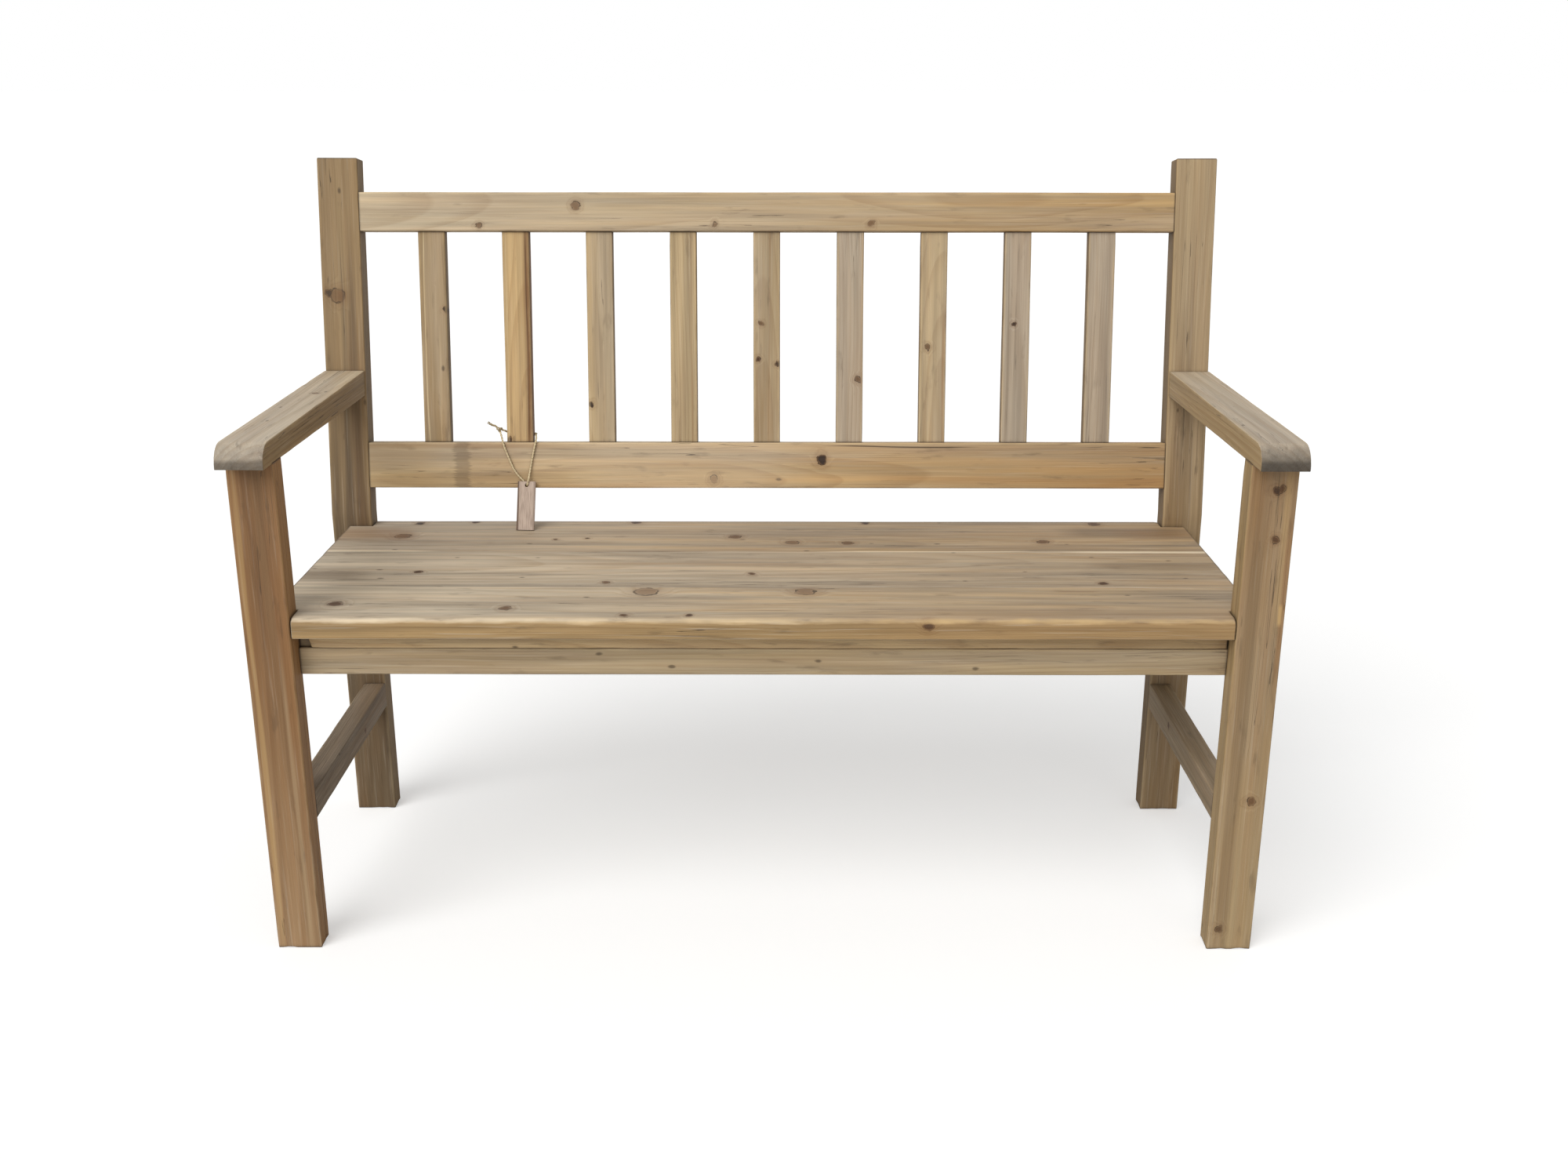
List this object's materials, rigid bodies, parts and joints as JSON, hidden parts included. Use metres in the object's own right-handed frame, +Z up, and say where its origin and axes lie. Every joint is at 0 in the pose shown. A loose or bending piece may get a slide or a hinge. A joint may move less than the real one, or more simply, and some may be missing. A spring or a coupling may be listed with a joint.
{
  "type": "settle bench",
  "caption": "Wooden settle with flat arms, a leaning back of upright slats between two rails, a plank seat, low side stretchers and a blank tag tied to the back.",
  "frame": {"origin": "on the floor under the middle of the bench's outer box", "axes": "+Z up, -Y the way the sitter faces, +X to the right as seen from the front"},
  "size_m": [1.203, 0.5364, 0.916],
  "materials": {
    "leg_wood": "weathered, dry, sanded",
    "arm_wood": "weathered, dry, sanded",
    "rail_wood": "weathered, dry, sanded",
    "slat_wood": "weathered, dry, sanded",
    "seat_wood": "weathered, dry, sanded",
    "frame_wood": "weathered, dry, sanded",
    "screw_steel": "zinc plated",
    "tag_wood": "bare, thin, pale",
    "twine": "twisted natural fibre"
  },
  "bodies": {
    "root": {"front_leg_left": "leg_wood", "front_leg_right": "leg_wood", "rear_post_left": "leg_wood", "rear_post_right": "leg_wood", "arm_left": "arm_wood", "arm_right": "arm_wood", "top_rail": "rail_wood", "lower_back_rail": "rail_wood", "slat_1": "slat_wood", "slat_2": "slat_wood", "slat_3": "slat_wood", "slat_4": "slat_wood", "slat_5": "slat_wood", "slat_6": "slat_wood", "slat_7": "slat_wood", "slat_8": "slat_wood", "slat_9": "slat_wood", "seat_board_front": "seat_wood", "seat_board_middle": "seat_wood", "seat_board_rear": "seat_wood", "front_rail": "frame_wood", "front_batten": "frame_wood", "side_seat_rail_left": "frame_wood", "side_seat_rail_right": "frame_wood", "rear_seat_rail": "frame_wood", "seat_bearer": "frame_wood", "stretcher_left": "frame_wood", "stretcher_right": "frame_wood", "seat_screws": "screw_steel", "hang_tag": "tag_wood", "twine_loop": "twine", "twine_knot": "twine", "twine_tail": "twine"}
  },
  "joints": []
}
